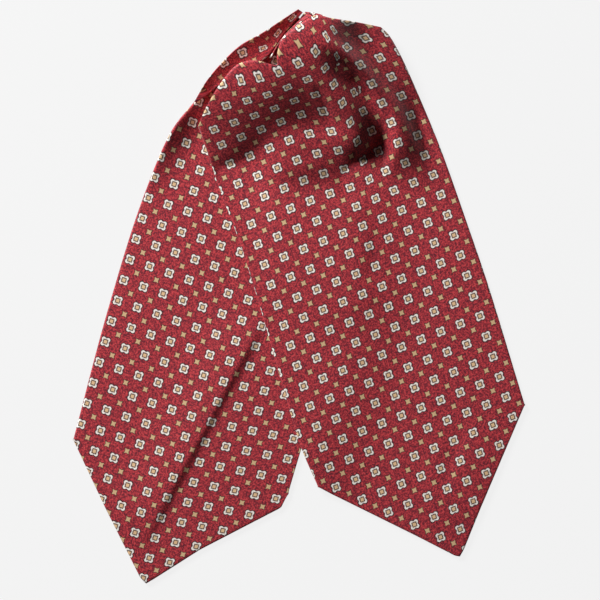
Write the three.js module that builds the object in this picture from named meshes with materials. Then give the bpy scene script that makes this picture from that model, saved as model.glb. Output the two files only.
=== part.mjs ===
// A silk day cravat laid flat: two wide pointed blades hang down from a pleated neckband,
// the right one over the left one, with the over blade puffed up over the gathered band.
// Millimetres, +Z up. The points of the blades lie towards -Y, and the cloth rests on z = 0.
import * as THREE from "three";

// Cloth
const PLY = 1.0; // one ply of silk twill with its interlining
const SEAM_GAP = 0.3; // between pieces that lie on each other
const BLADE = 2 * PLY + SEAM_GAP; // a blade is two plies, seamed down the back
const OVER_BASE = BLADE + SEAM_GAP; // what lies on the under blade starts here
const DRAPE_START = 6; // the over blade bridges the edge of the under blade from here outwards
const DRAPE = 10; // and its lower ply comes down to the ground over this width
const TOP_DRAPE = 48; // its upper ply comes down far more gently
const LIFTED = 8; // where the puff is this high, that edge no longer shows through
const STEEPEST = 2.2; // walls are thickened upwards on slopes, by at most this factor

// The rolled rim round the top of the over blade
const RIM_ROLL = 4;
const RIM_SHARE = 0.95; // height of the rim as a share of the heap beside it

// Outlines in plan, from the shoulder of each blade upwards: x, y
const OVER_LEFT = [
  [13.3, -133.3],
  [1.4, -105.3],
  [-14.7, -51.4],
  [-28.7, -2.4],
  [-44.1, 45.1],
  [-53.9, 70.3],
  [-66.5, 107.4],
  [-70.3, 119],
];
const OVER_RIM = [
  [-70.3, 119],
  [-65.1, 130.8],
  [-54.7, 148],
  [-42.4, 161.3],
  [-31, 163.9],
  [-19, 161],
  [-15, 160.6],
  [-15.4, 166.5],
  [-11.5, 179],
  [0.7, 188.6],
  [11.2, 194.9],
  [22.4, 193.2],
  [40.6, 191.2],
  [57.4, 188.3],
];
// The top of its back ply, which turns under inside the rim
const BACK_RIM = [
  [-69.8, 118.4],
  [-62.5, 124],
  [-53, 139],
  [-42, 149],
  [-30, 154.5],
  [-19, 149],
  [-8.5, 167],
  [2.5, 182.6],
  [15, 188.6],
  [32.2, 188],
  [56.6, 187.4],
];
const OVER_RIGHT = [
  [158.2, -75.9],
  [153.3, -59.8],
  [132.3, 8.8],
  [119, 47.9],
  [98, 106.8],
  [79.8, 150.1],
  [70, 171.1],
  [62.3, 183.8],
  [57.4, 188.3],
];
const OVER_POINT = [
  [13.3, -133.3],
  [22.4, -138.2],
  [81.9, -167.6],
  [109.2, -181.6],
  [112.7, -182.3],
  [115.5, -177.4],
  [127.4, -148],
  [158.2, -75.9],
];
const UNDER_LEFT = [
  [-158.2, -100.4],
  [-134.4, -10.8],
  [-109.9, 67.5],
  [-88.9, 116.5],
  [-73.5, 136.1],
  [-53.4, 161.4],
  [-24.9, 182.4],
  [-2.5, 198],
];
const UNDER_RIGHT = [
  [-7.7, -138.2],
  [2.1, -105.3],
  [25.2, -30.4],
  [33.6, 18.5],
  [27.3, 67.5],
  [10.5, 109.5],
  [-3, 140.3],
  [-4, 170],
  [3, 192],
];
const UNDER_POINT = [
  [-158.2, -100.4],
  [-135.8, -148],
  [-111.3, -197],
  [-107.1, -201.2],
  [-100.1, -197],
  [-69.3, -177.4],
  [-31.5, -157.8],
  [-12.6, -148],
  [-7.7, -138.2],
];
const UNDER_TOP = [
  [-2.5, 198],
  [3, 192],
];

// Soft heaps: centre x, centre y, half length, half width, turn in degrees, height, squareness
const HEAPS = {
  puff: [-32, 168, 68, 56, 15, 25, 1.4],
  pinch: [-10, 174, 34, 22, -40, 4, 1],
  bulge: [4, 99, 30, 17, 10, 4.5, 1.5],
  rightCorner: [46, 143, 54, 33, -60, 12, 1.3],
  bandEndBelow: [13, 36, 38, 62, 18, 1.8, 3],
  overPoint: [112, -128, 26, 40, -20, 0.9, 2],
};
const SOFT_FLOOR = 0.4; // how softly the relief stops where folds would go below the flat cloth

// Folds: start x, y, middle x, y, end x, y, height (a hollow is below 0), half width on the
// left and on the right of that way, and the shares of its length over which it rises and ends
const FOLDS = {
  cheekHollow: [-58, 82, -40, 92, -10, 114, -3, 10, 16, 0.2, 0.35],
  shellRim: [4, 160, 39, 122, 31, 90, 3.5, 14, 14, 0.35, 0.3],
  firstHollow: [14, 168, 58, 118, 28, 70, -8, 7, 10, 0.15, 0.2],
  thinRidge: [12, 181, 50, 149, 62, 106, 4, 4, 5, 0.15, 0.3],
  secondHollow: [26, 188, 70, 145, 104, 93, -10, 12, 9, 0.1, 0.15],
  pointHollow: [120, -84, 107, -112, 102, -140, -0.8, 5, 7, 0.3, 0.3],
};
const UNDER_FOLDS = {
  crease: [-26, -16, -69, -96, -109, -170, 2.2, 4, 26, 0.2, 0.1],
  liftedEdge: [-116, 64, -94, 116, -66, 150, 8, 12, 13, 0.6, 0.2],
};
const MOUND_REACH = 1.5; // each mound of a fold reaches this many times the distance to the next

// The neckband's pleats, from the left silhouette to the top: outer x, y, inner x, y, outer z, inner z
const OUTER_PLEAT = [
  [-73.2, 136, -71.5, 135.6, 5.4, 5],
  [-65.1, 150.1, -57, 146.5, 8, 6.8],
  [-54.6, 162.8, -45.5, 154.5, 10, 8.4],
  [-41.3, 175.3, -31.5, 161.5, 11, 9],
  [-25.9, 184.1, -21.5, 168.5, 11.6, 9.4],
  [-12.6, 192.8, -9.6, 184.4, 11.6, 10.4],
  [-0.7, 200.8, 2.6, 198.6, 9.8, 9.4],
];
const INNER_PLEAT = [
  [-20.6, 167.2, -19.8, 166.6, 8, 8.4],
  [-13.6, 178.6, -12.8, 178.2, 9, 9.4],
  [-9, 184.4, -5.6, 185.6, 9.4, 9.6],
  [-1.6, 191.8, 3.4, 192.6, 8.4, 9],
  [3.4, 198.2, 10, 196.4, 6.5, 8],
];
const BAND_TURN = [
  [4.4, 199.4, 4.2, 198.4, 4.5, 6],
  [11.2, 198.6, 10.6, 196.6, 4.2, 6],
  [16.8, 197, 16.4, 195.4, 3.8, 5],
  [22.6, 193.8, 22.4, 193.7, 3, 3.2],
];

// The folded layers under the puff: their outline in plan, and how their edge is stepped
const LAYERS_OUTLINE = [
  [-62.7, 120.8],
  [-51, 142.5],
  [-42, 150.5],
  [-30, 156],
  [-19, 150.5],
  [-9, 168],
  [3, 182.6],
  [15, 187.6],
  [32.2, 188.4],
  [50, 185.2],
  [51, 172],
  [45, 154],
  [52, 134],
  [46, 120],
  [36, 102],
  [18.2, 93],
  [-6.3, 94],
  [-30.8, 103],
  [-50, 107.4],
  [-60, 112],
];
const LAYERS = 3;
const LAYER_STEP = 1.1; // how far each layer's edge stands out from the notch between two
const LAYERS_SEAT = 1; // above the back ply
const LAYERS_CLEARANCE = 3; // under the silk, so that the coarser facets stay clear

// Mesh sizes
const POINT_SAMPLES = 400;
const RIM_SAMPLES = 70;
const EDGE_SAMPLES = 50;
const ACROSS = 30;
const BLADE_ROWS = 12;
const HEAP_START = 0.56; // the puff begins at this share of the blade's length
const HEAP_ROWS = 25;
const RIM_START = 0.965;
const RIM_ROWS = [0.98, 0.99, 1];
const BACK_TOP = 0.64; // the back ply keeps to the front ply up to here
const BACK_GATHER_ROWS = 8;
const UNDER_FRONT_STEPS = [24, 30]; // across and up
const UNDER_BACK_STEPS = [12, 12];
const FOLD_SAMPLES = 18;
const OUTER_PLEAT_STEPS = [34, 10]; // along and across
const INNER_PLEAT_STEPS = [16, 4];
const TURN_STEPS = [10, 3];
const THINNEST_PLEAT = 1.2;
const PLEAT_REACH = 4; // a pleat lies on the highest cloth within this distance
const LAYERS_AROUND = 56;
const CROWN_RINGS = [0.18, 0.36, 0.52, 0.66, 0.78, 0.88, 0.95, 1];
const FOOT_RINGS = [0.99, 0.8, 0.6, 0.4, 0.2];
const SLOPE_REACH = 0.5;

const clamp = (value) => Math.min(1, Math.max(0, value));
const ease = (value) => clamp(value) ** 2 * (3 - 2 * clamp(value));
const point = ([x, y]) => new THREE.Vector3(x, y, 0);
const steps = (count, from = 0, to = 1) =>
  Array.from({ length: count + 1 }, (_, i) => from + ((to - from) * i) / count);

function smoothLine(rows) {
  return new THREE.CatmullRomCurve3(rows.map(point), false, "centripetal");
}

function straightLine(rows) {
  const line = new THREE.CurvePath();
  for (let i = 1; i < rows.length; i++)
    line.add(new THREE.LineCurve3(point(rows[i - 1]), point(rows[i])));
  return line;
}

// Shares along the edge of a blade's point, evenly spread on each side of its tip
function sharesByPeak(line, count) {
  const samples = line.getSpacedPoints(POINT_SAMPLES);
  const lowest = samples.reduce((best, p, i) => (p.y < samples[best].y ? i : best), 0);
  const peak = lowest / POINT_SAMPLES;
  const before = Math.round(count * peak);
  return [...steps(before, 0, peak), ...steps(count - before, peak, 1).slice(1)];
}

// A sheet between four boundary lines, each run from its start at share 0. The top line bends
// the rows more the nearer they are to it.
function sheetBetween(left, right, bottom, top) {
  const corner = [
    bottom.getPointAt(0),
    bottom.getPointAt(1),
    top.getPointAt(0),
    top.getPointAt(1),
  ];
  return (s, t) => {
    const place = new THREE.Vector3();
    place.addScaledVector(left.getPointAt(t), 1 - s);
    place.addScaledVector(right.getPointAt(t), s);
    place.addScaledVector(bottom.getPointAt(s), 1 - t);
    place.addScaledVector(top.getPointAt(s), t * t);
    place.addScaledVector(corner[0], -(1 - s) * (1 - t));
    place.addScaledVector(corner[1], -s * (1 - t));
    place.addScaledVector(corner[2], -(1 - s) * t * t);
    place.addScaledVector(corner[3], -s * t * t);
    return place;
  };
}

function heapHeight([cx, cy, length, width, turn, height, squareness], x, y) {
  const angle = THREE.MathUtils.degToRad(turn);
  const along = (x - cx) * Math.cos(angle) + (y - cy) * Math.sin(angle);
  const aside = (y - cy) * Math.cos(angle) - (x - cx) * Math.sin(angle);
  const reach = (along / length) ** 2 + (aside / width) ** 2;
  return height * Math.exp(-(reach ** squareness));
}

// A fold is the sum of short soft mounds strung along its bent line
function foldMounds([x0, y0, x1, y1, x2, y2, height, left, right, head, tail]) {
  const middle = new THREE.Vector3(x1, y1, 0).multiplyScalar(2);
  middle.add(new THREE.Vector3(x0 + x2, y0 + y2, 0).multiplyScalar(-0.5));
  const line = new THREE.QuadraticBezierCurve3(
    point([x0, y0]),
    middle,
    point([x2, y2]),
  );
  return steps(FOLD_SAMPLES - 1, 0.5 / FOLD_SAMPLES, 1 - 0.5 / FOLD_SAMPLES).map(
    (share) => {
      const place = line.getPoint(share);
      const way = line.getTangent(share);
      const before = line.getPoint(share - 0.5 / FOLD_SAMPLES);
      const spacing = line.getPoint(share + 0.5 / FOLD_SAMPLES).distanceTo(before);
      const strength = ease(share / head) * ease((1 - share) / tail);
      return {
        place,
        way,
        left,
        right,
        reach: spacing * MOUND_REACH,
        height: (height * strength) / (MOUND_REACH * Math.sqrt(Math.PI)),
      };
    },
  );
}

function moundHeight(mound, x, y) {
  const dx = x - mound.place.x;
  const dy = y - mound.place.y;
  const along = (dx * mound.way.x + dy * mound.way.y) / mound.reach;
  const side = dy * mound.way.x - dx * mound.way.y;
  const aside = side / (side > 0 ? mound.left : mound.right);
  return mound.height * Math.exp(-(along ** 2) - aside ** 2);
}

const overMounds = Object.values(FOLDS).flatMap(foldMounds);
const underMounds = Object.values(UNDER_FOLDS).flatMap(foldMounds);
const sumOf = (list, height, x, y) =>
  list.reduce((total, item) => total + height(item, x, y), 0);

// Distance in plan to a line sampled as short straight stretches, above 0 on its left
function signedDistance(samples, x, y) {
  let best = Infinity;
  let side = 1;
  for (let i = 1; i < samples.length; i++) {
    const a = samples[i - 1];
    const b = samples[i];
    const dx = b.x - a.x;
    const dy = b.y - a.y;
    const share = clamp(((x - a.x) * dx + (y - a.y) * dy) / (dx * dx + dy * dy));
    const away = Math.hypot(x - a.x - share * dx, y - a.y - share * dy);
    if (away < best) {
      best = away;
      side = dx * (y - a.y) - dy * (x - a.x) > 0 ? 1 : -1;
    }
  }
  return best * side;
}

const overRim = smoothLine(OVER_RIM);
const underRight = smoothLine(UNDER_RIGHT);
const rimSamples = overRim.getSpacedPoints(RIM_SAMPLES);
const underEdgeSamples = underRight.getSpacedPoints(EDGE_SAMPLES);

// Height of what lies on the under blade
const onUnderBlade = (x, y) => OVER_BASE + sumOf(underMounds, moundHeight, x, y);

// Height of what the over blade lies on: the under blade, or the ground to its right
function overBase(x, y, drape = DRAPE) {
  const inside = signedDistance(underEdgeSamples, x, y) + DRAPE_START;
  return onUnderBlade(x, y) * ease((inside + drape) / drape);
}

// Top of the over blade: its flat state, and the relief above it
function overTop(x, y) {
  const raw =
    sumOf(Object.values(HEAPS), heapHeight, x, y) +
    sumOf(overMounds, moundHeight, x, y);
  const relief = 0.5 * (raw + Math.hypot(raw, SOFT_FLOOR));
  const fromRim = clamp(Math.abs(signedDistance(rimSamples, x, y)) / RIM_ROLL);
  const roll = Math.sqrt(1 - (1 - fromRim) ** 2);
  const draped = overBase(x, y, TOP_DRAPE);
  const carrier = draped + (OVER_BASE - draped) * ease(relief / LIFTED);
  return carrier + BLADE + relief * (RIM_SHARE + (1 - RIM_SHARE) * roll);
}

const pleatFloor = (x, y) =>
  Math.max(
    onUnderBlade(x, y),
    onUnderBlade(x - PLEAT_REACH, y),
    onUnderBlade(x, y - PLEAT_REACH),
  );
const backTop = (x, y) => overBase(x, y) + PLY;
const underTop = (x, y) => BLADE + sumOf(underMounds, moundHeight, x, y);

// How much thicker a wall has to be upwards where its surface slopes
function slopeFactor(height, x, y) {
  const reach = SLOPE_REACH;
  const dx = (height(x + reach, y) - height(x - reach, y)) / (2 * reach);
  const dy = (height(x, y + reach) - height(x, y - reach)) / (2 * reach);
  return Math.min(STEEPEST, Math.sqrt(1 + dx * dx + dy * dy));
}

// A closed wall from two grids of points with the same rows and columns
function wall(upper, lower) {
  const rows = upper.length;
  const columns = upper[0].length;
  const at = (layer, row, column) => (layer * rows + row) * columns + column;
  const faces = [];
  const quad = (a, b, c, d) => faces.push(a, b, c, a, c, d);
  for (let r = 1; r < rows; r++)
    for (let c = 1; c < columns; c++) {
      quad(at(0, r - 1, c - 1), at(0, r - 1, c), at(0, r, c), at(0, r, c - 1));
      quad(at(1, r - 1, c - 1), at(1, r, c - 1), at(1, r, c), at(1, r - 1, c));
    }
  for (let c = 1; c < columns; c++) {
    quad(at(1, 0, c - 1), at(1, 0, c), at(0, 0, c), at(0, 0, c - 1));
    quad(at(0, rows - 1, c - 1), at(0, rows - 1, c), at(1, rows - 1, c), at(1, rows - 1, c - 1));
  }
  for (let r = 1; r < rows; r++) {
    quad(at(0, r - 1, 0), at(0, r, 0), at(1, r, 0), at(1, r - 1, 0));
    quad(at(1, r - 1, columns - 1), at(1, r, columns - 1), at(0, r, columns - 1), at(0, r - 1, columns - 1));
  }
  const points = [...upper.flat(), ...lower.flat()];
  const geometry = new THREE.BufferGeometry().setFromPoints(points);
  geometry.setIndex(faces);
  return geometry;
}

const raised = (grid, height) =>
  grid.map((row) => row.map((p) => new THREE.Vector3(p.x, p.y, height(p.x, p.y))));

const silk = new THREE.MeshStandardMaterial({
  color: 0x95383e,
  roughness: 0.55,
  metalness: 0,
});
const shadedSilk = new THREE.MeshStandardMaterial({
  color: 0x6e272e,
  roughness: 0.6,
  metalness: 0,
});

const cravat = new THREE.Group();
function add(name, geometry, material = silk) {
  geometry.computeVertexNormals();
  const mesh = new THREE.Mesh(geometry, material);
  mesh.name = name;
  cravat.add(mesh);
}

function overBlade() {
  const sheet = sheetBetween(
    smoothLine(OVER_LEFT),
    smoothLine(OVER_RIGHT),
    straightLine(OVER_POINT),
    overRim,
  );
  const rows = [
    ...steps(BLADE_ROWS, 0, HEAP_START),
    ...steps(HEAP_ROWS, HEAP_START, RIM_START).slice(1),
    ...RIM_ROWS,
  ];
  const columns = sharesByPeak(straightLine(OVER_POINT), ACROSS);
  const grid = rows.map((t) => columns.map((s) => sheet(s, t)));
  const under = (share) => (x, y) =>
    overTop(x, y) - share * slopeFactor(overTop, x, y);
  add("over_blade_front", wall(raised(grid, overTop), raised(grid, under(PLY))));
  const panel = grid.filter((_, row) => rows[row] <= BACK_TOP);
  const turnedUnder = smoothLine(BACK_RIM);
  const gathers = steps(BACK_GATHER_ROWS)
    .slice(1)
    .map((share) =>
      panel.at(-1).map((p, i) => p.clone().lerp(turnedUnder.getPointAt(columns[i]), share)),
    );
  const backGrid = [...panel, ...gathers];
  add("over_blade_back", wall(raised(backGrid, backTop), raised(backGrid, overBase)), shadedSilk);
}

function underBlade() {
  const sheet = sheetBetween(
    smoothLine(UNDER_LEFT),
    underRight,
    straightLine(UNDER_POINT),
    straightLine(UNDER_TOP),
  );
  const gridOf = ([across, up]) => {
    const columns = sharesByPeak(straightLine(UNDER_POINT), across);
    return steps(up).map((t) => columns.map((s) => sheet(s, t)));
  };
  const front = gridOf(UNDER_FRONT_STEPS);
  const back = gridOf(UNDER_BACK_STEPS);
  const frontUnder = (x, y) => underTop(x, y) - PLY;
  add("under_blade_front", wall(raised(front, underTop), raised(front, frontUnder)));
  add("under_blade_back", wall(raised(back, () => PLY), raised(back, () => 0)), shadedSilk);
}

// A pleat of the neckband: sections between its outer and inner edge, run along smooth lines
function pleat(rows, [count, across], floor) {
  const column = (x, y, z) =>
    new THREE.CatmullRomCurve3(
      rows.map((row) => new THREE.Vector3(row[x], row[y], row[z])),
      false,
      "centripetal",
    );
  const outer = column(0, 1, 4);
  const inner = column(2, 3, 5);
  const upper = steps(count).map((t) => {
    const from = outer.getPoint(t);
    const to = inner.getPoint(t);
    return steps(across).map((s) => {
      const place = from.clone().lerp(to, s);
      place.z = from.z + (to.z - from.z) * Math.sin((s * Math.PI) / 2);
      place.z = Math.max(place.z, floor(place.x, place.y) + THINNEST_PLEAT);
      return place;
    });
  });
  return wall(upper, raised(upper, floor));
}

function neckband() {
  add("neckband_outer_pleat", pleat(OUTER_PLEAT, OUTER_PLEAT_STEPS, pleatFloor));
  add("neckband_inner_pleat", pleat(INNER_PLEAT, INNER_PLEAT_STEPS, pleatFloor), shadedSilk);
  add("neckband_turn", pleat(BAND_TURN, TURN_STEPS, () => 0), shadedSilk);
}

// The hidden folds of the band and the gathered back ply: one rounded solid, stepped at its edge
function foldedLayers() {
  const outline = new THREE.CatmullRomCurve3(
    LAYERS_OUTLINE.map(point),
    true,
    "centripetal",
  );
  const around = outline.getSpacedPoints(LAYERS_AROUND).slice(0, -1);
  const centre = around
    .reduce((sum, p) => sum.add(p), new THREE.Vector3())
    .divideScalar(around.length);
  const ring = (share) => around.map((p) => centre.clone().lerp(p, share));
  const top = (x, y) =>
    overTop(x, y) - (PLY + LAYERS_CLEARANCE) * slopeFactor(overTop, x, y);
  const bottom = (x, y) => backTop(x, y) + LAYERS_SEAT;
  const rings = CROWN_RINGS.map((share) =>
    ring(share).map((p) => new THREE.Vector3(p.x, p.y, top(p.x, p.y))),
  );
  const edge = rings.at(-1);
  const notches = 2 * LAYERS - 1;
  for (let n = 1; n <= notches; n++) {
    const inset = n % 2 ? LAYER_STEP : 0;
    rings.push(
      edge.map((p) => {
        const inward = centre.clone().sub(p).setZ(0).normalize();
        const height = p.z + ((bottom(p.x, p.y) - p.z) * n) / (notches + 1);
        return new THREE.Vector3(p.x, p.y, height).addScaledVector(inward, inset);
      }),
    );
  }
  for (const share of FOOT_RINGS)
    rings.push(ring(share).map((p) => new THREE.Vector3(p.x, p.y, bottom(p.x, p.y))));
  const crown = new THREE.Vector3(centre.x, centre.y, top(centre.x, centre.y));
  const foot = new THREE.Vector3(centre.x, centre.y, bottom(centre.x, centre.y));
  const points = [...rings.flat(), crown, foot];
  const count = around.length;
  const faces = [];
  const clockwise = THREE.ShapeUtils.area(around) < 0;
  const face = (a, b, c) => (clockwise ? faces.push(a, c, b) : faces.push(a, b, c));
  for (let i = 0; i < count; i++) {
    const next = (i + 1) % count;
    face(points.length - 2, i, next);
    for (let r = 1; r < rings.length; r++) {
      const above = (r - 1) * count;
      const below = r * count;
      face(above + i, below + i, below + next);
      face(above + i, below + next, above + next);
    }
    const last = (rings.length - 1) * count;
    face(points.length - 1, last + next, last + i);
  }
  const geometry = new THREE.BufferGeometry().setFromPoints(points);
  geometry.setIndex(faces);
  add("neckband_folded_layers", geometry, shadedSilk);
}

overBlade();
underBlade();
neckband();
foldedLayers();

export default cravat;
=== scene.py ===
# %% [markdown]
# A silk day cravat, laid flat and seen from straight above
#
# A day cravat is one long band of printed silk. Its two ends are wide pointed blades, and the
# stretch between them is pleated into a narrow neckband. Here it lies as it does in a shop's
# picture: the band is folded out of sight at the top, and the right blade lies over the left
# one, puffed up where the hidden band lifts it. Everything in this lesson is soft cloth, so each
# piece is a thin sheet that is placed point by point on its real form, and then given the
# thickness of silk. Lengths in the tables are millimetres, and Blender's metres come last.

import math

import bpy
import numpy as np
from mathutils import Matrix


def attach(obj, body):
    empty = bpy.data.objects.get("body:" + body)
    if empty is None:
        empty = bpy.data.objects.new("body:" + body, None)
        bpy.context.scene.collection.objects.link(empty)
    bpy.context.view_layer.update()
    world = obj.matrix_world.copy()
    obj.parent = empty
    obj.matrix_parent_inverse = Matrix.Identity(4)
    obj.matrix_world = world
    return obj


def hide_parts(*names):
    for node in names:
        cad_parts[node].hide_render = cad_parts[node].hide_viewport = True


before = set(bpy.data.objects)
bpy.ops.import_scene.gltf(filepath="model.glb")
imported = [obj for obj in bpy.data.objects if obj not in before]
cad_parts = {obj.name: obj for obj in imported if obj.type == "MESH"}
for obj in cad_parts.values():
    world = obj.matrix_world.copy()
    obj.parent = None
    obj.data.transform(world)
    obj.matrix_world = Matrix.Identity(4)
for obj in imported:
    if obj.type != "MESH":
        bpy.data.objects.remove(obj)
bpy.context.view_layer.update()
MM = 0.001
print("pieces of the frame:", ", ".join(sorted(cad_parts)))

# %% [markdown]
# The picture was taken from straight above with a long lens, so the puff of silk hardly grows
# towards the camera. The camera therefore stands far off with a narrow view. The width of the
# view is a real size: the cloth is about 155 mm across a blade, and the view 420 mm.

# %% Camera
VIEW_WIDTH = 420
VIEW_CENTRE = (0.7, -2.45)
VIEW_HEIGHT_OF_FOCUS = 4
LENS = 240
SENSOR = 36

camera_data = bpy.data.cameras.new("overhead_camera")
camera_data.lens = LENS
camera_data.sensor_width = SENSOR
camera = bpy.data.objects.new("overhead_camera", camera_data)
camera_height = VIEW_HEIGHT_OF_FOCUS + VIEW_WIDTH * LENS / SENSOR
camera.location = (VIEW_CENTRE[0] * MM, VIEW_CENTRE[1] * MM, camera_height * MM)
bpy.context.collection.objects.link(camera)
bpy.context.scene.camera = camera
print("camera", round(camera_height), "mm above the table")

# %% [markdown]
# The light is one big soft window beyond the top left corner. It gives every fold a lit side
# towards the neckband and a dark side towards the points. A faint lamp and sky fill the shadows.

# %% Light
KEY_PLACE = (-1256, 1496, 1000)
KEY_SIZE = 640
KEY_POWER = 100
FILL_PLACE = (500, -500, 1600)
FILL_SIZE = 1500
FILL_POWER = 0.2
SKY_STRENGTH = 0.02


def window(name, place, size, power):
    """A soft square light that looks at the middle of the cravat."""
    data = bpy.data.lights.new(name, "AREA")
    data.shape = "SQUARE"
    data.size = size * MM
    data.energy = power
    lamp = bpy.data.objects.new(name, data)
    lamp.location = [value * MM for value in place]
    towards = -lamp.location
    lamp.rotation_euler = towards.to_track_quat("-Z", "Y").to_euler()
    bpy.context.collection.objects.link(lamp)


bpy.context.scene.view_settings.view_transform = "Standard"
window("window_light", KEY_PLACE, KEY_SIZE, KEY_POWER)
window("room_light", FILL_PLACE, FILL_SIZE, FILL_POWER)
sky = bpy.data.worlds.new("pale_room")
sky.use_nodes = True
sky.node_tree.nodes["Background"].inputs["Color"].default_value = (1, 1, 1, 1)
sky.node_tree.nodes["Background"].inputs["Strength"].default_value = SKY_STRENGTH
bpy.context.scene.world = sky

# %% [markdown]
# Node maths is easier to read as sums than as a web of nodes. This class wraps one output
# socket. Adding or multiplying two of them puts the Math node in by itself, and make() puts in
# any other node with its settings and its inputs.

# %% A small language for materials
class Wire:
    """One output socket of a material, which ordinary sums can be done with."""

    def __init__(self, tree, socket):
        self.tree = tree
        self.socket = socket

    def make(self, kind, settings=None, inputs=None, output=0):
        node = self.tree.nodes.new(kind)
        for name, value in (settings or {}).items():
            if name == "stops":
                fill_ramp(node.color_ramp, value)
            else:
                setattr(node, name, value)
        for name, value in (inputs or {}).items():
            if isinstance(value, Wire):
                self.tree.links.new(value.socket, node.inputs[name])
            else:
                node.inputs[name].default_value = value
        return Wire(self.tree, node.outputs[output])

    def maths(self, operation, other=None, third=None):
        inputs = {0: self}
        if other is not None:
            inputs[1] = other
        if third is not None:
            inputs[2] = third
        return self.make("ShaderNodeMath", {"operation": operation}, inputs)

    def __add__(self, other):
        return self.maths("ADD", other)

    __radd__ = __add__

    def __sub__(self, other):
        return self.maths("SUBTRACT", other)

    def __rsub__(self, other):
        return self.maths("MULTIPLY_ADD", -1.0, other)

    def __mul__(self, other):
        return self.maths("MULTIPLY", other)

    __rmul__ = __mul__

    def __abs__(self):
        return self.maths("ABSOLUTE")

    def least(self, other):
        return self.maths("MINIMUM", other)

    def most(self, other):
        return self.maths("MAXIMUM", other)

    def below(self, edge, softness):
        """1 where the value is under the edge, 0 past it, with a soft step between."""
        inputs = {"Value": self, 1: edge - softness, 2: edge + softness, 3: 1.0, 4: 0.0}
        settings = {"interpolation_type": "SMOOTHSTEP"}
        return self.make("ShaderNodeMapRange", settings, inputs)

    def mixed(self, under, over):
        """Colour: under where this mask is 0, over where it is 1."""
        inputs = {0: self, 6: under, 7: over}
        return self.make("ShaderNodeMix", {"data_type": "RGBA"}, inputs, output=2)


def fill_ramp(ramp, stops):
    """Sets a colour ramp from a list of (place, colour)."""
    while len(ramp.elements) < len(stops):
        ramp.elements.new(1.0)
    for element, (place, colour) in zip(ramp.elements, stops):
        element.position = place
        element.color = colour


def dye(red, green, blue):
    """A colour as it looks on a screen, from 0 to 255, turned into the light it sends back."""
    parts = [value / 255 for value in (red, green, blue)]
    linear = [v / 12.92 if v < 0.04045 else ((v + 0.055) / 1.055) ** 2.4 for v in parts]
    return (*linear, 1.0)


# %% [markdown]
# The floor is a plain pale sheet. It glows a little by itself, as a lit paper backdrop does in a
# studio, so that the shadows round the cloth stay faint.

# %% Floor
FLOOR_SIZE = 6000
FLOOR_GLOW = 0.85
FLOOR_COLOUR = (0.05, 0.05, 0.05, 1)


def deselect_everything():
    for thing in bpy.context.selected_objects:
        thing.select_set(False)


deselect_everything()
bpy.ops.mesh.primitive_plane_add(size=FLOOR_SIZE * MM, location=(0, 0, 0))
floor = bpy.context.active_object
floor.name = "pale_floor"
paper = bpy.data.materials.new("pale_paper")
paper.use_nodes = True
paper_look = paper.node_tree.nodes["Principled BSDF"]
paper_look.inputs["Base Color"].default_value = FLOOR_COLOUR
paper_look.inputs["Roughness"].default_value = 0.9
paper_look.inputs["Specular IOR Level"].default_value = 0.0
paper_look.inputs["Emission Color"].default_value = (1.0, 1.0, 1.0, 1)
paper_look.inputs["Emission Strength"].default_value = FLOOR_GLOW
floor.data.materials.append(paper)

# %% [markdown]
# The print is a small foulard: cream four-lobed flowers on a square grid, and a small tan
# square in the middle of every four. It is drawn by distances alone. UV coordinates count the
# repeats, so their fractions say where a point lies within one repeat, and the distance to a
# few circles and squares says which colour it has. The ground is a heathered red, because its
# threads are of several reds, and a fine twill runs over all of it.

# %% Printed silk
REPEAT = 14.84  # from one flower to the next

LOBE_OUT = 1.62  # lobes lie on the diagonals, this far along and across
LOBE_RADIUS = 1.44
FLOWER_HALF = 2.62  # the square between the lobes
OUTLINE = 0.62
EYE_FRAME_HALF = 1.82
EYE_HALF = 1.12
SPOT_HALF = 1.52
SPOT_WAIST = 0.24  # how far its sides curve in
EDGE_SOFTNESS = 0.2
OUTLINE_SOFTNESS = 0.3
FRAYED = 0.25  # how far single threads push the edge of a flower in or out
SPOT_FRAYED = 0.2
SPOT_OUTLINE = 0.7  # as a share of a flower's outline
SPOT_OUTLINE_STRENGTH = 0.9
NOTCH = (0.5, 0.6)  # half width and softness of the shaded cross between the lobes
NOTCH_STRENGTH = 0.8

# noises of the ground: how many to a repeat, detail, roughness
FLECKS = (11.0, 3.0, 0.8)
CLOUDS = (4.6, 2.0, 0.6)
THREADS = (48.0, 1.0, 0.5)
FLECK_STRENGTH = 3.6
CLOUD_STRENGTH = 0.9
THREAD_STRENGTH = 1.3
TWILL_WAY = (0.8, 0.6)  # the twill line leans this far along and across
TWILL_LINES = 260.0
TWILL_DEPTH = 0.35
RIB_HEIGHT = 0.0001  # metres

RED = dye(186, 52, 60)
DEEP_RED = dye(148, 40, 50)
PLUM = dye(92, 28, 42)
CREAM = dye(238, 230, 222)
CREAM_SHADE = dye(196, 180, 180)
TAN = dye(214, 172, 128)
OLIVE_TAN = dye(196, 170, 130)
PALE_TAN = dye(230, 196, 156)
BRIGHT_RED = dye(206, 72, 76)
NIGHT = dye(46, 26, 30)
BRONZE = dye(86, 68, 52)


def folded_share(start, shift):
    """How far a point is from the nearest whole number, in millimetres of cloth."""
    return abs((start + shift).maths("FRACT") - 0.5) * REPEAT


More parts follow.
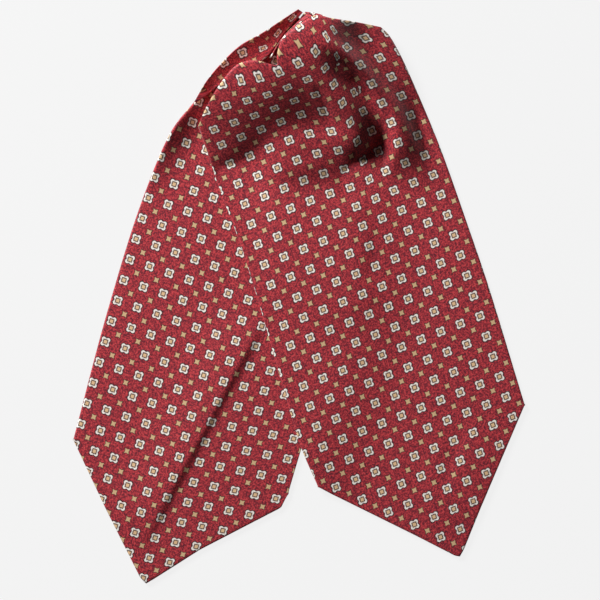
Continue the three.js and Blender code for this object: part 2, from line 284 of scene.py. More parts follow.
def printed_silk(name):
    """Silk twill with the foulard print, on the piece's own UV map."""
    material = bpy.data.materials.new(name)
    material.use_nodes = True
    tree = material.node_tree
    look = tree.nodes["Principled BSDF"]
    uv_node = tree.nodes.new("ShaderNodeUVMap")
    uv = Wire(tree, uv_node.outputs["UV"])
    parts = tree.nodes.new("ShaderNodeSeparateXYZ")
    tree.links.new(uv.socket, parts.inputs[0])
    u = Wire(tree, parts.outputs["X"])
    v = Wire(tree, parts.outputs["Y"])

    def noise(row):
        scale, detail, roughness = row
        inputs = {"Vector": uv, "Scale": scale, "Detail": detail, "Roughness": roughness}
        return uv.make("ShaderNodeTexNoise", {"noise_dimensions": "2D"}, inputs)

    flecks = noise(FLECKS)
    clouds = noise(CLOUDS)
    threads = noise(THREADS)
    heather = (flecks - 0.5) * FLECK_STRENGTH + (clouds - 0.5) * CLOUD_STRENGTH
    heather = heather + (threads - 0.5) * THREAD_STRENGTH + 0.5
    ground_stops = [(0.18, PLUM), (0.46, DEEP_RED), (0.78, RED), (1.0, BRIGHT_RED)]
    ground = heather.make("ShaderNodeValToRGB", {"stops": ground_stops}, {0: heather})

    x = folded_share(u, 0.5)
    y = folded_share(v, 0.5)
    square = x.most(y)
    lobe_x = x - LOBE_OUT
    lobe_y = y - LOBE_OUT
    lobe = (lobe_x * lobe_x + lobe_y * lobe_y).maths("SQRT") - LOBE_RADIUS
    flower = lobe.least(square - FLOWER_HALF) + (threads - 0.5) * FRAYED

    small_x = folded_share(u, 0.0)
    small_y = folded_share(v, 0.0)
    small_square = small_x.most(small_y)
    small_side = small_x.least(small_y)
    spot = small_square - small_side * SPOT_WAIST - (SPOT_HALF - SPOT_WAIST)
    spot = spot + (threads - 0.5) * SPOT_FRAYED
    spot_outline = spot.below(OUTLINE * SPOT_OUTLINE, OUTLINE_SOFTNESS) * SPOT_OUTLINE_STRENGTH

    notch = x.least(y).below(*NOTCH) * NOTCH_STRENGTH
    cream = notch.mixed(CREAM, CREAM_SHADE)
    eye = (threads * 0.9).mixed(TAN, PALE_TAN)
    spot_colour = (threads * 0.8).mixed(OLIVE_TAN, TAN)

    colour = flower.below(OUTLINE, OUTLINE_SOFTNESS).mixed(ground, NIGHT)
    colour = flower.below(0.0, EDGE_SOFTNESS).mixed(colour, cream)
    colour = square.below(EYE_FRAME_HALF, EDGE_SOFTNESS).mixed(colour, BRONZE)
    colour = square.below(EYE_HALF, EDGE_SOFTNESS).mixed(colour, eye)
    colour = spot_outline.mixed(colour, NIGHT)
    colour = spot.below(0.0, EDGE_SOFTNESS).mixed(colour, spot_colour)
    tree.links.new(colour.socket, look.inputs["Base Color"])

    twill = ((u * TWILL_WAY[0] + v * TWILL_WAY[1]) * TWILL_LINES).maths("SINE")
    ribs = twill * TWILL_DEPTH + (threads - 0.5)
    bump_inputs = {"Strength": 0.35, "Distance": RIB_HEIGHT, "Height": ribs}
    bump = ribs.make("ShaderNodeBump", {}, bump_inputs)
    tree.links.new(bump.socket, look.inputs["Normal"])
    roughness = 0.5 + flecks * 0.14
    tree.links.new(roughness.socket, look.inputs["Roughness"])
    look.inputs["Specular IOR Level"].default_value = 0.32
    look.inputs["Sheen Weight"].default_value = 0.12
    look.inputs["Sheen Roughness"].default_value = 0.45
    look.inputs["Sheen Tint"].default_value = (1.0, 0.72, 0.72, 1.0)
    return material


silk = printed_silk("printed_silk")
band_silk = printed_silk("band_silk")
print("printed silk:", len(silk.node_tree.nodes), "nodes")

# %% [markdown]
# Each panel lies between four edge lines, as a flag hangs between its poles. The lines are
# smooth runs through a few measured corners. A point of the panel is then found from two shares:
# how far across it lies, and how far up.

# %% Edge lines and the panels between them
LINE_STEPS = 24


def soft_line(corners):
    """A smooth line through the corners, as many short straight stretches."""
    corners = np.array(corners, float)
    first = 2 * corners[0] - corners[1]
    last = 2 * corners[-1] - corners[-2]
    run = np.vstack([first, corners, last])
    share = np.linspace(0, 1, LINE_STEPS, endpoint=False)[:, None]
    stretches = []
    for a, b, c, d in zip(run, run[1:], run[2:], run[3:]):
        before, middle, after = (math.sqrt(np.linalg.norm(step)) for step in (b - a, c - b, d - c))
        leave = ((b - a) / before - (c - a) / (before + middle) + (c - b) / middle) * middle
        arrive = ((c - b) / middle - (d - b) / (middle + after) + (d - c) / after) * middle
        curve = b + leave * share + (3 * (c - b) - 2 * leave - arrive) * share**2
        stretches.append(curve + (2 * (b - c) + leave + arrive) * share**3)
    return np.vstack([*stretches, corners[-1:]])


def straight_line(corners):
    return np.array(corners, float)


def along(line, share):
    """Points at the given shares of a line's length."""
    stretches = np.linalg.norm(np.diff(line, axis=0), axis=1)
    travelled = np.concatenate([[0], np.cumsum(stretches)])
    place = np.asarray(share) * travelled[-1]
    return np.stack([np.interp(place, travelled, axis) for axis in line.T], axis=-1)


def panel_between(left, right, bottom, top):
    """Gives a function from (share across, share up) to points of the panel."""
    corner = [bottom[0], bottom[-1], top[0], top[-1]]

    def place(s, t):
        across = s[..., None]
        up = t[..., None]
        edges = along(left, t) * (1 - across) + along(right, t) * across
        edges = edges + along(bottom, s) * (1 - up) + along(top, s) * up
        low = corner[0] * (1 - across) + corner[1] * across
        high = corner[2] * (1 - across) + corner[3] * across
        edges = edges - low * (1 - up) - high * up
        return edges - (along(top, s) - high) * (up - up**2)

    return place


def ease(value):
    value = np.clip(value, 0, 1)
    return value * value * (3 - 2 * value)


def signed_distance(line, x, y):
    """Distance to a line, above 0 on its left."""
    best = np.full(x.shape, np.inf)
    side = np.ones(x.shape)
    for a, b in zip(line, line[1:]):
        way = b - a
        share = np.clip(((x - a[0]) * way[0] + (y - a[1]) * way[1]) / (way @ way), 0, 1)
        away = np.hypot(x - a[0] - share * way[0], y - a[1] - share * way[1])
        turn = way[0] * (y - a[1]) - way[1] * (x - a[0])
        nearer = away < best
        best = np.where(nearer, away, best)
        side = np.where(nearer, np.where(turn > 0, 1.0, -1.0), side)
    return best * side


# %% [markdown]
# These are the outlines of the two blades, from the shoulder of the point upwards. The over
# blade is cut off at its top by the rim of the puff, where the silk rolls over and goes under.

# %% Outlines
OVER_LEFT = [
    (13.3, -133.3),
    (1.4, -105.3),
    (-14.7, -51.4),
    (-28.7, -2.4),
    (-44.1, 45.1),
    (-53.9, 70.3),
    (-66.5, 107.4),
    (-70.3, 119),
]
OVER_RIM = [
    (-70.3, 119),
    (-65.1, 130.8),
    (-54.7, 148),
    (-42.4, 161.3),
    (-31, 163.9),
    (-19, 161),
    (-15, 160.6),
    (-15.4, 166.5),
    (-11.5, 179),
    (0.7, 188.6),
    (11.2, 194.9),
    (22.4, 193.2),
    (40.6, 191.2),
    (57.4, 188.3),
]
BACK_RIM = [
    (-69.8, 118.4),
    (-62.5, 124),
    (-53, 139),
    (-42, 149),
    (-30, 154.5),
    (-19, 149),
    (-8.5, 167),
    (2.5, 182.6),
    (15, 188.6),
    (32.2, 188),
    (56.6, 187.4),
]
OVER_RIGHT = [
    (158.2, -75.9),
    (153.3, -59.8),
    (132.3, 8.8),
    (119, 47.9),
    (98, 106.8),
    (79.8, 150.1),
    (70, 171.1),
    (62.3, 183.8),
    (57.4, 188.3),
]
OVER_POINT = [
    (13.3, -133.3),
    (22.4, -138.2),
    (81.9, -167.6),
    (109.2, -181.6),
    (112.7, -182.3),
    (115.5, -177.4),
    (127.4, -148),
    (158.2, -75.9),
]
UNDER_LEFT = [
    (-158.2, -100.4),
    (-134.4, -10.8),
    (-109.9, 67.5),
    (-88.9, 116.5),
    (-73.5, 136.1),
    (-53.4, 161.4),
    (-24.9, 182.4),
    (-2.5, 198),
]
UNDER_RIGHT = [
    (-7.7, -138.2),
    (2.1, -105.3),
    (25.2, -30.4),
    (33.6, 18.5),
    (27.3, 67.5),
    (10.5, 109.5),
    (-3, 140.3),
    (-4, 170),
    (3, 192),
]
UNDER_POINT = [
    (-158.2, -100.4),
    (-135.8, -148),
    (-111.3, -197),
    (-107.1, -201.2),
    (-100.1, -197),
    (-69.3, -177.4),
    (-31.5, -157.8),
    (-12.6, -148),
    (-7.7, -138.2),
]
UNDER_TOP = [(-2.5, 198), (3, 192)]

over_rim = soft_line(OVER_RIM)
under_right = soft_line(UNDER_RIGHT)
over_panel = panel_between(
    soft_line(OVER_LEFT), soft_line(OVER_RIGHT), straight_line(OVER_POINT), over_rim
)
under_panel = panel_between(
    soft_line(UNDER_LEFT), under_right, straight_line(UNDER_POINT), straight_line(UNDER_TOP)
)

# %% [markdown]
# The form of the cloth is a height over the table. Broad heaps lift it, and folds run over the
# heaps as soft ridges and hollows, each along its own bent line. A fold has a height, a width on
# each side, and a share of its length over which it rises and fades, because no two are alike.

# %% Heaps and folds
BLADE = 2.3  # two plies and the gap between them
OVER_BASE = 2.6  # what the over blade lies on
DRAPE_START = 6  # the over blade bridges the edge of the under blade from here outwards
DRAPE = 10  # and its lower ply comes down to the table over this width
TOP_DRAPE = 48  # its upper ply comes down far more gently
RIM_ROLL = 3  # the rim of the puff rounds off over this width
RIM_SHARE = 0.98  # and this share of the height beside it is left there
LIFTED = 8  # where the puff is this high, the edge of the under blade no longer shows through
FOLD_SAMPLES = 18  # mounds in a fold
MOUND_REACH = 1.5  # each reaches this many times the distance to the next
SOFT_FLOOR = 0.4  # how softly the relief stops where it would go below the flat cloth
LINE_SKIP = 3  # distances to a line need only every third of its points
LONG_LINE_SKIP = 4

HEAPS = {
    # centre x, y, half length, half width, turn in degrees, height, squareness
    "puff": (-32, 168, 68, 56, 15, 25, 1.4),
    "top rise": (8, 200, 32, 20, -15, 6, 1.2),
    "pinch": (-14, 184, 36, 22, -40, 6, 1),
    "bulge": (4, 99, 30, 17, 10, 4.5, 1.5),
    "right corner": (44, 150, 60, 32, -52, 16, 1.6),
    "band end below": (13, 36, 38, 62, 18, 1.8, 3),
    "over point": (112, -128, 26, 40, -20, 0.9, 2),
}
OVER_FOLDS = {
    # start x, y, middle x, y, end x, y, height, left and right half width, rise, fade
    "cheek hollow": (-58, 82, -40, 92, -10, 114, -3, 10, 16, 0.2, 0.35),
    "shell rim": (4, 160, 39, 122, 31, 90, 3.5, 14, 14, 0.35, 0.3),
    "first hollow": (14, 168, 58, 118, 28, 70, -8, 7, 10, 0.15, 0.2),
    "thin ridge": (12, 181, 48, 150, 60, 108, 3, 4, 6, 0.15, 0.3),
    "second hollow": (30, 190, 68, 146, 100, 94, -8, 14, 9, 0.1, 0.15),
    "point hollow": (120, -84, 107, -112, 102, -140, -0.8, 5, 7, 0.3, 0.3),
}
OVER_CREASES = {
    # finer folds that only the silk itself shows
    "pinch streak": (10, 148, 18, 134, 23, 118, -1.4, 3, 3, 0.3, 0.4),
    "valley light": (53, 96, 66, 40, 34, 4, -2.0, 8, 10, 0.3, 0.4),
}
UNDER_FOLDS = {
    "crease": (-26, -16, -69, -96, -109, -170, 2.2, 4, 26, 0.1, 0.1),
    "lifted edge": (-116, 64, -94, 116, -66, 150, 8, 12, 13, 0.6, 0.2),
}


def heap_height(row, x, y):
    cx, cy, length, width, turn, height, squareness = row
    angle = math.radians(turn)
    lengthwise = (x - cx) * math.cos(angle) + (y - cy) * math.sin(angle)
    crosswise = (y - cy) * math.cos(angle) - (x - cx) * math.sin(angle)
    reach = (lengthwise / length) ** 2 + (crosswise / width) ** 2
    return height * np.exp(-(reach**squareness))


def fold_height(row, x, y):
    """A fold is a string of short soft mounds along its bent line."""
    start, middle, end = (np.array(row[i : i + 2], float) for i in (0, 2, 4))
    height, left, right, rise, fade = row[6:]
    pull = 2 * middle - (start + end) / 2

    def bent(t):
        return start * (1 - t) ** 2 + 2 * pull * t * (1 - t) + end * t * t

    total = np.zeros(x.shape)
    half = 0.5 / FOLD_SAMPLES
    for share in np.linspace(half, 1 - half, FOLD_SAMPLES):
        place = bent(share)
        step = bent(share + half) - bent(share - half)
        spacing = np.hypot(*step)
        way = (pull - start) * (1 - share) + (end - pull) * share
        way = way / np.hypot(*way)
        dx = x - place[0]
        dy = y - place[1]
        lengthwise = (dx * way[0] + dy * way[1]) / (spacing * MOUND_REACH)
        side = dy * way[0] - dx * way[1]
        crosswise = side / np.where(side > 0, left, right)
        strength = ease(share / rise) * ease((1 - share) / fade)
        mound = np.exp(-(lengthwise**2) - crosswise**2)
        total += height * strength * mound / (MOUND_REACH * math.sqrt(math.pi))
    return total


def folds(tables, x, y):
    return sum(fold_height(row, x, y) for table in tables for row in table.values())


def on_under_blade(x, y):
    return OVER_BASE + folds([UNDER_FOLDS], x, y)


def over_base(x, y, drape=DRAPE):
    """What the over blade lies on: the under blade, or the table to its right."""
    inside = signed_distance(under_right[::LONG_LINE_SKIP], x, y) + DRAPE_START
    return on_under_blade(x, y) * ease((inside + drape) / drape)


def over_top(x, y):
    raw = sum(heap_height(row, x, y) for row in HEAPS.values())
    raw = raw + folds([OVER_FOLDS, OVER_CREASES], x, y)
    relief = 0.5 * (raw + np.hypot(raw, SOFT_FLOOR))
    from_rim = np.clip(np.abs(signed_distance(over_rim[::LINE_SKIP], x, y)) / RIM_ROLL, 0, 1)
    roll = np.sqrt(1 - (1 - from_rim) ** 2)
    carrier = over_base(x, y, TOP_DRAPE)
    carrier = carrier + (OVER_BASE - carrier) * ease(relief / LIFTED)
    return carrier + BLADE + relief * (RIM_SHARE + (1 - RIM_SHARE) * roll)


def under_top(x, y):
    return BLADE + folds([UNDER_FOLDS], x, y)


def table_top(x, y):
    return np.zeros(x.shape)


# %% [markdown]
# The print follows the threads, so each panel has a UV map that counts repeats along and
# across the silk. On the flat parts that is a turn and a scale. On the puff the cloth has more
# length than the picture shows, so the count runs ahead there by smooth amounts.

# %% Where the print lies
# repeats for each millimetre of x and of y, and at the middle of the cravat
OVER_ACROSS = (0.0646, 0.0208, 1.10)
OVER_UP = (-0.0248, 0.0626, -4.92)
UNDER_ACROSS = (0.06587, -0.0197, 5.308)
UNDER_UP = (0.02183, 0.06296, -2.041)

GATHER_FROM = 0.3  # above this row the print leans to the right
GATHER_LEAN = 0.024
HOLLOW = (5.9, 0.8)  # the column where the two long hollows start, and over how many columns
HOLLOW_STEP = (0.20, 0.075)  # the silk taken up there: low down, and for each row from the first
BESIDE_HOLLOW = 0.6  # share of the first rise that the hollows take away
TOP_RISE = (0.2, 3.0, 0.8)  # amount, first row, over how many rows
TOP_RISE_END = (4.8, 1.2)  # the column where it ends, and over how many columns
SETTLE = 0.08

# places where the puff has more silk: column, row, half width, half height, amount
FIRST_RISE = (5.35, 2.2, 1.05, 3.0, 0.42)
RISES = {
    "lobe": (3.0, 5.0, 2.6, 1.25, 0.62),
    "beside the top": (5.5, 5.4, 1.3, 0.8, 0.2),
    "pinch": (3.7, 5.1, 1.1, 0.7, 0.12),
    "corner": (7.4, 5.6, 1.1, 1.3, -0.2),
}
LEANS = {
    "corner": (7.0, 7.0, 1.0, 1.6, 0.45),
    "lobe": (0.9, 5.8, 1.3, 0.8, -0.42),
}

CREASE_SOFTNESS = 14
CREASE_SHIFT = (0.0004, 0.00993)  # left of the crease the print turns, for each millimetre


def repeats(row, x, y):
    per_x, per_y, start = row
    return per_x * x + per_y * y + start


def swell(row, c, r):
    """A soft patch round one column and row of the print."""
    column, line, wide, high, amount = row
    return amount * np.exp(-(((c - column) / wide) ** 2) - ((r - line) / high) ** 2)


def over_print(x, y):
    c = repeats(OVER_ACROSS, x, y)
    r = repeats(OVER_UP, x, y)
    past_hollow = ease((c - HOLLOW[0]) / HOLLOW[1])
    lean = GATHER_LEAN * np.maximum(r - GATHER_FROM, 0) ** 2
    lean = lean + sum(swell(row, c, r) for row in LEANS.values())
    step = HOLLOW_STEP[0] * ease((r + 3) / 3) + HOLLOW_STEP[1] * np.maximum(r - 1, 0)
    rise = swell(FIRST_RISE, c, r) * (1 - BESIDE_HOLLOW * past_hollow)
    rise = rise + sum(swell(row, c, r) for row in RISES.values()) - SETTLE
    amount, first_row, rows = TOP_RISE
    last_column, columns = TOP_RISE_END
    rise = rise + amount * ease((r - first_row) / rows) * (1 - ease((c - last_column) / columns))
    return c + lean + past_hollow * step, r + rise


def under_print(x, y):
    start = np.array(UNDER_FOLDS["crease"][0:2], float)
    end = np.array(UNDER_FOLDS["crease"][4:6], float)
    way = (end - start) / np.hypot(*(end - start))
    left_of_crease = way[0] * (y - start[1]) - way[1] * (x - start[0])
    turned = 0.5 * (left_of_crease + np.hypot(left_of_crease, CREASE_SOFTNESS))
    c = repeats(UNDER_ACROSS, x, y) - CREASE_SHIFT[0] * turned
    r = repeats(UNDER_UP, x, y) - CREASE_SHIFT[1] * turned
    return c, r


# %% [markdown]
# A panel of a cravat has folded edges: the silk turns round them and ends a few millimetres in
# on the underside. So the sheet is a fine grid whose outer rows and columns run round that fold.
# The grid comes from Blender's own grid, its points are then placed, and Solidify gives the
# silk its thickness on the inner side. The print counts on down the tall rim, so that it isn't
# drawn out into stripes there.

# %% Sheets with folded edges
SILK_THICKNESS = 0.45
FOLDED_EDGE = [
    # inset from the fold, and height as a share from underside to top
    (4.0, 0.0),
    (1.3, 0.0),
    (0.45, 0.08),
    (0.08, 0.3),
    (0.0, 0.5),
    (0.08, 0.72),
    (0.45, 0.93),
    (1.2, 1.0),
]
RIM_EDGE = [
    # the rim of the puff is tall, so its top turns more tightly
    (4.0, 0.0),
    (1.6, 0.0),
    (0.4, 0.05),
    (0.02, 0.25),
    (0.0, 0.5),
    (0.02, 0.88),
    (0.1, 0.97),
    (0.4, 0.995),
]
CUT_EDGE = [(0.0, 1.0)]

BEFORE = -1.0  # marks the rows of a sheet's first edge, and AFTER those of its last edge
AFTER = 2.0


def edge_shares(count, start, end):
    """Insets from both ends and the height share of each row: first edge, middle, last edge."""
    middle = np.linspace(0, 1, count)
    from_start = [row[0] for row in start]
    from_end = [row[0] for row in reversed(end)]
    heights = [row[1] for row in start] + [1.0] * (count - 2) + [row[1] for row in reversed(end)]
    part = np.concatenate([np.full(len(start), BEFORE), middle[1:-1], np.full(len(end), AFTER)])
    inset = np.concatenate([from_start, np.zeros(count - 2), from_end])
    return part, inset, np.array(heights)


def shares_from(part, inset, length, inner_start, inner_end):
    """Turns insets in millimetres into shares of a length."""
    low = inner_start / length
    high = 1 - inner_end / length
    share = low + (high - low) * part
    share = np.where(part < 0, inset / length, share)
    return np.where(part > 1, 1 - inset / length, share)


def edge_side(part):
    """-1 on the rows of the first edge, 1 on those of the last edge, 0 between them."""
    return np.where(part < 0, -1, np.where(part > 1, 1, 0))


def grid_object(name, columns, rows):
    """Blender's own grid with this many points across and up."""
    deselect_everything()
    bpy.ops.mesh.primitive_grid_add(x_subdivisions=columns - 1, y_subdivisions=rows - 1, size=1)
    made = bpy.context.active_object
    made.name = name
    made.data.name = name
    return made


def place_grid(name, points, print_u, print_v):
    """A sheet of silk whose grid points lie at the given places, in millimetres."""
    rows, columns = points.shape[:2]
    sheet = grid_object(name, columns, rows)
    sheet.data.vertices.foreach_set("co", (points.reshape(-1, 3) * MM).ravel())
    corner_point = np.empty(len(sheet.data.loops), dtype=np.int32)
    sheet.data.loops.foreach_get("vertex_index", corner_point)
    uv = np.stack([print_u.ravel(), print_v.ravel()], axis=-1)[corner_point]
    layer = sheet.data.uv_layers.active or sheet.data.uv_layers.new(name="UVMap")
    layer.data.foreach_set("uv", uv.ravel())
    sheet.data.update()
    return sheet


def thicken(sheet):
    """Gives a sheet its thickness on the inner side, and smooth shading."""
    bpy.context.view_layer.objects.active = sheet
    sheet.select_set(True)
    wall = sheet.modifiers.new("thickness", "SOLIDIFY")
    wall.thickness = SILK_THICKNESS * MM
    wall.offset = -1
    wall.use_even_offset = False
    bpy.ops.object.modifier_apply(modifier=wall.name)
    bpy.ops.object.shade_smooth()
    sheet.select_set(False)
    area = sum(face.area for face in sheet.data.polygons) / 2
    print(sheet.name, len(sheet.data.polygons) * 2, "triangles,", round(area, 5), "m2 of silk")
    return sheet


def folded_sheet(name, panel, lengths, counts, edges, top, base, print_place, up_steps=None):
    """A panel with folded edges. edges are left, right, bottom and top."""
    across, up = counts
    width, length = lengths
    part_s, inset_s, height_s = edge_shares(across, edges[0], edges[1])
    part_t, inset_t, height_t = edge_shares(up, edges[2], edges[3])
    if up_steps is not None:
        inner = (part_t >= 0) & (part_t <= 1)
        part_t[inner] = np.interp(part_t[inner], np.linspace(0, 1, len(up_steps)), up_steps)
    s = shares_from(part_s, inset_s, width, edges[0][-1][0], edges[1][-1][0])
    t = shares_from(part_t, inset_t, length, edges[2][-1][0], edges[3][-1][0])
    place = panel(*np.meshgrid(s, t))
    x = place[..., 0]
    y = place[..., 1]
    low = base(x, y)
    high = top(x, y)
    height_s, height_t = np.meshgrid(height_s, height_t)
    side_s, side_t = np.meshgrid(edge_side(part_s), edge_side(part_t))
    z = low + (high - low) * np.minimum(height_s, height_t)
    z = z + SILK_THICKNESS * ((side_s != 0) & (side_t != 0))
    u, v = print_place(x, y)
    u = u + side_s * (1 - height_s) * (high - low) / REPEAT
    v = v + side_t * (1 - height_t) * (high - low) / REPEAT
    return place_grid(name, np.stack([x, y, z], axis=-1), u, v)


# %% [markdown]
# The two front panels come first, because they are nearly all that shows.

# %% Front panels
OVER_SIZE = (155, 340)
UNDER_SIZE = (155, 330)
OVER_GRID = (150, 251)
UNDER_GRID = (110, 200)
CLOSE_ROWS_FROM = 0.5  # the rows are closer together on the upper half, where the puff is
ROWS_BELOW = 90
ROWS_ABOVE = 161
over_up = np.concatenate(
    [
        np.linspace(0, CLOSE_ROWS_FROM, ROWS_BELOW, endpoint=False),
        np.linspace(CLOSE_ROWS_FROM, 1, ROWS_ABOVE),
    ]
)
over_front = folded_sheet(
    "over_front_silk",
    over_panel,
    OVER_SIZE,
    OVER_GRID,
    (FOLDED_EDGE, FOLDED_EDGE, FOLDED_EDGE, RIM_EDGE),
    over_top,
    over_base,
    over_print,
    over_up,
)
thicken(over_front)
under_front = folded_sheet(
    "under_front_silk",
    under_panel,
    UNDER_SIZE,
    UNDER_GRID,
    (FOLDED_EDGE, FOLDED_EDGE, FOLDED_EDGE, CUT_EDGE),
    under_top,
    table_top,
    under_print,
)
thicken(under_front)

# %% [markdown]
# The back panels are plain and lie on the table. They end just inside the turned edges.

# %% Back panels
BACK_INSET = 4.4
BACK_LIFT = 0.03
BACK_GRID = (40, 70)


def back_sheet(name, panel, size, base, print_place):
    inset = [(BACK_INSET, 1.0)]
    sheet = folded_sheet(
        name,
        panel,
        size,
        BACK_GRID,
        (inset, inset, inset, inset),
        lambda x, y: base(x, y) + BACK_LIFT + SILK_THICKNESS,
        base,
        print_place,
    )
    return thicken(sheet)


back_panel = panel_between(
    soft_line(OVER_LEFT), soft_line(OVER_RIGHT), straight_line(OVER_POINT), soft_line(BACK_RIM)
)
over_back = back_sheet("over_back_silk", back_panel, OVER_SIZE, over_base, over_print)
under_back = back_sheet("under_back_silk", under_panel, UNDER_SIZE, table_top, under_print)

# %% [markdown]
# The neckband is pleated to a third of its width. Its outer pleat comes round the top left and
# the inner pleat and the turned end show beside it. Each is a narrow strip with two folded
# edges, given by a row of points along its outer and its inner fold.

# %% Neckband pleats
# rows of outer x, y, inner x, y, outer z, inner z
OUTER_PLEAT = [
    (-73.2, 136, -71.5, 135.6, 6, 5),
    (-65.1, 150.1, -57, 146.5, 9.6, 6.4),
    (-54.6, 162.8, -45.5, 154.5, 11.4, 7.2),
    (-41.3, 175.3, -31.5, 161.5, 12.6, 7.6),
    (-25.9, 184.1, -21.5, 168.5, 13.2, 8),
    (-12.6, 192.8, -9.6, 184.4, 13.4, 9),
    (-0.7, 200.8, 2.6, 198.6, 10.4, 9.2),
]
INNER_PLEAT = [
    (-20.6, 167.2, -19.8, 166.6, 8, 8.4),
    (-13.6, 178.6, -12.8, 178.2, 9, 9.4),
    (-9, 184.4, -5.6, 185.6, 9.4, 9.6),
    (-1.6, 191.8, 3.4, 192.6, 8.4, 9),
    (3.4, 198.2, 10, 196.4, 6.5, 8),
]
BAND_TURN = [
    (4.4, 199.4, 4.2, 198.4, 4.5, 6),
    (11.2, 198.6, 10.6, 196.6, 4.2, 6),
    (16.8, 197, 16.4, 195.4, 3.8, 5),
    (22.6, 193.8, 22.4, 193.7, 3, 3.2),
]
# the row of flowers that runs along the band
BAND_ROW = [
    (-70, 152),
    (-52.4, 163.4),
    (-38.6, 170.5),
    (-23.4, 174.2),
    (-13.4, 185.8),
    (-2.2, 197.3),
    (10, 209),
]
BAND_ROW_START = -1.4
SQUEEZE_FROM = -36  # from here the flowers of the band are narrower
SQUEEZE_OVER = 14
SQUEEZED = 0.5
THINNEST_PLEAT = 1.2
NARROWEST_PLEAT = 3.2
PLEAT_EDGE = 0.35  # the fold of a pleat, as a share of a blade's folded edge
OUTER_GRID = (26, 90)
INNER_GRID = (16, 60)
TURN_GRID = (12, 40)
band_row = soft_line(BAND_ROW)


def band_print(x, y):
    """Repeats along the band's own row of flowers, and across it."""
    steps_along = np.linalg.norm(np.diff(band_row, axis=0), axis=1)
    travelled = np.concatenate([[0], np.cumsum(steps_along)])
    away = np.hypot(x[..., None] - band_row[:, 0], y[..., None] - band_row[:, 1])
    nearest = np.argmin(away, axis=-1)
    u = travelled[nearest] / REPEAT + BAND_ROW_START
    squeeze = 1 - SQUEEZED * ease((x - SQUEEZE_FROM) / SQUEEZE_OVER)
    v = signed_distance(band_row[::LINE_SKIP], x, y) / (REPEAT * squeeze)
    return u, v


def pleat(name, rows, counts, floor_height):
    """A strip between two folded edges, rounded up from its outer to its inner fold."""
    table = np.array(rows, float)
    outer = soft_line(table[:, [0, 1, 4]])
    inner = soft_line(table[:, [2, 3, 5]])
    edge = [(inset * PLEAT_EDGE, share) for inset, share in FOLDED_EDGE]
    part, inset, height = edge_shares(counts[0], edge, edge)
    up = np.linspace(0, 1, counts[1])
    outside = along(outer, up)[:, None, :]
    inside = along(inner, up)[:, None, :]
    width = np.linalg.norm((inside - outside)[..., :2], axis=-1)
    width = np.maximum(width, NARROWEST_PLEAT)
    s = shares_from(part[None, :], inset[None, :], width, edge[-1][0], edge[-1][0])
    place = outside + (inside - outside) * s[..., None]
    rise = np.sin(s * math.pi / 2)
    z = outside[..., 2] + (inside - outside)[..., 2] * rise
    low = floor_height(place[..., 0], place[..., 1]) + SILK_THICKNESS
    z = np.maximum(z, low + THINNEST_PLEAT)
    z = low + (z - low) * height[None, :]
    points = np.stack([place[..., 0], place[..., 1], z], axis=-1)
    u, v = band_print(points[..., 0], points[..., 1])
    return place_grid(name, points, u, v)


band_outer = thicken(pleat("band_outer_fold", OUTER_PLEAT, OUTER_GRID, on_under_blade))
band_inner = thicken(pleat("band_inner_fold", INNER_PLEAT, INNER_GRID, on_under_blade))
band_turned = thicken(pleat("band_turned_end", BAND_TURN, TURN_GRID, table_top))

# %% [markdown]
# Under the puff lie the folds of the band and the gathered back. Only their edges show, between
# the rim of the puff and the table. They are one rounded stack, stepped at its edge, and a ball
# whose rings are placed by code gives it a closed skin.

# %% Hidden folds
LAYERS_OUTLINE = [
    (-62.7, 120.8),
    (-51, 142.5),
    (-42, 150.5),
    (-30, 156),
    (-19, 150.5),
    (-9, 168),
    (3, 184.6),
    (15, 190.6),
    (32.2, 188.4),
    (50, 185.2),
    (59, 173),
    (63, 151.6),
    (58, 130.6),
    (53, 110.6),
    (38, 98),
    (18.2, 93),
    (-6.3, 94),
    (-30.8, 103),
    (-50, 107.4),
    (-60, 112),
]
LAYERS = 3
LAYER_NOTCH = 1.76  # how deep the notch between two layers goes
LAYER_ARC = 6  # points round the edge of one layer
AROUND = 120
STACK_CLEARANCE = 1.2
TOP_RINGS = [0.2, 0.4, 0.58, 0.74, 0.86, 0.94]
FOOT_RINGS = [0.8, 0.5, 0.25]
STACK_LIFT = 1.2
STACK_PRINT_START = 0.3

stack_line = soft_line([*LAYERS_OUTLINE, LAYERS_OUTLINE[0]])
stack_edge = along(stack_line, np.arange(AROUND) / AROUND)
stack_centre = stack_edge.mean(axis=0)


def crown_height(place):
    return over_top(place[:, 0], place[:, 1]) - STACK_CLEARANCE - SILK_THICKNESS


def foot_height(place):
    return over_base(place[:, 0], place[:, 1]) + STACK_LIFT


def stack_rings():
    """Rings of points from the crown of the stack, down round its layers, to its foot."""

    def level(share, height):
        place = stack_centre + (stack_edge - stack_centre) * share
        return np.column_stack([place, height(place)])

    inward = stack_centre - stack_edge
    inward = inward / np.hypot(*inward.T)[:, None]
    high = crown_height(stack_edge)
    low = foot_height(stack_edge)
    rings = [level(share, crown_height) for share in TOP_RINGS]
    for layer in range(LAYERS):
        for step in range(LAYER_ARC):
            angle = math.pi * (step + 0.5) / LAYER_ARC
            share = (layer + (1 - math.cos(angle)) / 2) / LAYERS
            place = stack_edge + inward * LAYER_NOTCH * (1 - math.sin(angle))
            rings.append(np.column_stack([place, high + (low - high) * share]))
    return rings + [level(share, foot_height) for share in FOOT_RINGS]


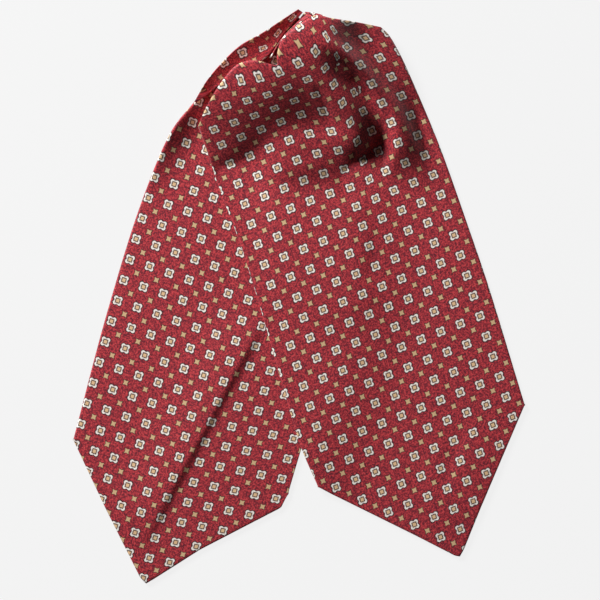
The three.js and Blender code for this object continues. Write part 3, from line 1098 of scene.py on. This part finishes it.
def hidden_folds(name):
    """A ball whose rings are moved to the rings of the stack, and its two poles to the middle."""
    rings = stack_rings()
    last = len(rings) + 1
    deselect_everything()
    bpy.ops.mesh.primitive_uv_sphere_add(segments=AROUND, ring_count=last, radius=1)
    stack = bpy.context.active_object
    stack.name = name
    mesh = stack.data
    mesh.name = name
    ball = np.empty(len(mesh.vertices) * 3)
    mesh.vertices.foreach_get("co", ball)
    ball = ball.reshape(-1, 3)
    turn = np.arctan2(ball[:, 1], ball[:, 0])
    column = np.round(turn / (2 * math.pi) * AROUND).astype(int) % AROUND
    tilt = np.arccos(np.clip(ball[:, 2], -1, 1))
    row = np.round(tilt / math.pi * last).astype(int)
    start = stack_edge[0] - stack_centre
    quarter = stack_edge[AROUND // 4] - stack_centre
    clockwise = start[0] * quarter[1] - start[1] * quarter[0] < 0
    if clockwise:
        column = (-column) % AROUND
    points = np.stack(rings)[np.clip(row - 1, 0, len(rings) - 1), column]
    middle = stack_centre[None, :]
    points[row == 0] = [*stack_centre, crown_height(middle)[0]]
    points[row == last] = [*stack_centre, foot_height(middle)[0]]
    mesh.vertices.foreach_set("co", (points * MM).ravel())
    corner_point = np.empty(len(mesh.loops), dtype=np.int32)
    mesh.loops.foreach_get("vertex_index", corner_point)
    u = points[:, 0] / REPEAT + STACK_PRINT_START
    v = (points[:, 1] + points[:, 2]) / REPEAT
    mesh.uv_layers.active.data.foreach_set("uv", np.stack([u, v], -1)[corner_point].ravel())
    mesh.update()
    bpy.ops.object.shade_smooth()
    print(name, len(mesh.polygons), "faces")
    return stack


band_folds = hidden_folds("band_hidden_folds")

# %% [markdown]
# Every piece gets its silk, rides with the body and stands for its solid in the frame.

# %% Finish, hold and hide the solids
PIECES = {
    # piece: the solid it stands for, its finish and its slot
    over_front: ("over_blade_front", silk, "printed_silk"),
    over_back: ("over_blade_back", silk, "printed_silk"),
    under_front: ("under_blade_front", silk, "printed_silk"),
    under_back: ("under_blade_back", silk, "printed_silk"),
    band_outer: ("neckband_outer_pleat", band_silk, "band_silk"),
    band_inner: ("neckband_inner_pleat", band_silk, "band_silk"),
    band_turned: ("neckband_turn", band_silk, "band_silk"),
    band_folds: ("neckband_folded_layers", band_silk, "band_silk"),
}
for piece, (node, finish, slot) in PIECES.items():
    piece.data.materials.clear()
    piece.data.materials.append(finish)
    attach(piece, "root")
    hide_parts(node)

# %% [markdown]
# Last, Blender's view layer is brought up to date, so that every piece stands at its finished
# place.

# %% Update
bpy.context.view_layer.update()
